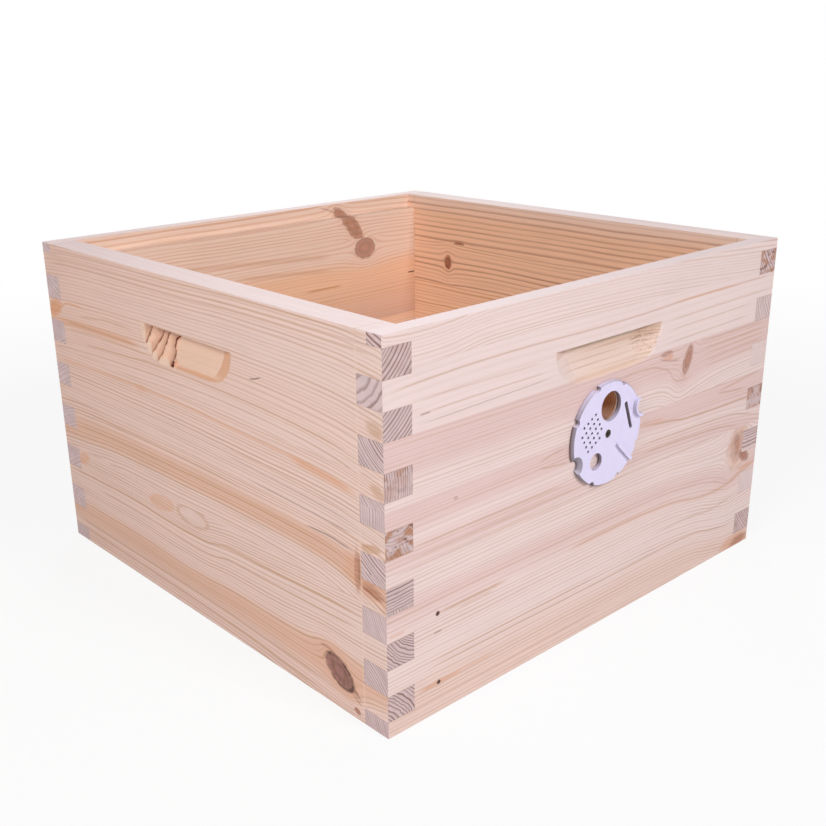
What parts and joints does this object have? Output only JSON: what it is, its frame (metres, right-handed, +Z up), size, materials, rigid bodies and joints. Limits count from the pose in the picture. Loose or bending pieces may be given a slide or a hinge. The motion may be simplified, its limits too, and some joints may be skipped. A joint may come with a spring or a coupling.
{
  "type": "hive box",
  "caption": "Deep open-ended pine hive box with finger-jointed corners, frame rests inside the front and rear walls, milled hand-holds and a turning entrance disc.",
  "frame": {"origin": "middle of the bounding box at the level of the bottom rim, so the open middle of the box, 3.9 mm in front of the middle of the four walls because the entrance disc stands out of the front wall", "axes": "+Z up through the open top, -Y out of the front wall with the entrance, +X to the right seen from the front"},
  "size_m": [0.504, 0.5118, 0.316],
  "materials": {
    "pine": "planed, untreated",
    "white_plastic": "moulded, satin",
    "screw_steel": "dull zinc"
  },
  "bodies": {
    "box": {"front_board_1": "pine", "front_board_2": "pine", "front_board_3": "pine", "front_board_4": "pine", "front_board_5": "pine", "rear_board_1": "pine", "rear_board_2": "pine", "rear_board_3": "pine", "rear_board_4": "pine", "rear_board_5": "pine", "left_board_1": "pine", "left_board_2": "pine", "left_board_3": "pine", "left_board_4": "pine", "right_board_1": "pine", "right_board_2": "pine", "right_board_3": "pine", "right_board_4": "pine", "right_board_5": "pine", "pivot_screw": "screw_steel"},
    "entrance_disc": {"entrance_disc": "white_plastic"}
  },
  "joints": [
    {"name": "disc_turn", "type": "hinge", "parent": "box", "child": "entrance_disc", "pos_m": [-0.004, -0.2481, 0.1842], "axis": [0, -1, 0], "continuous": true}
  ]
}
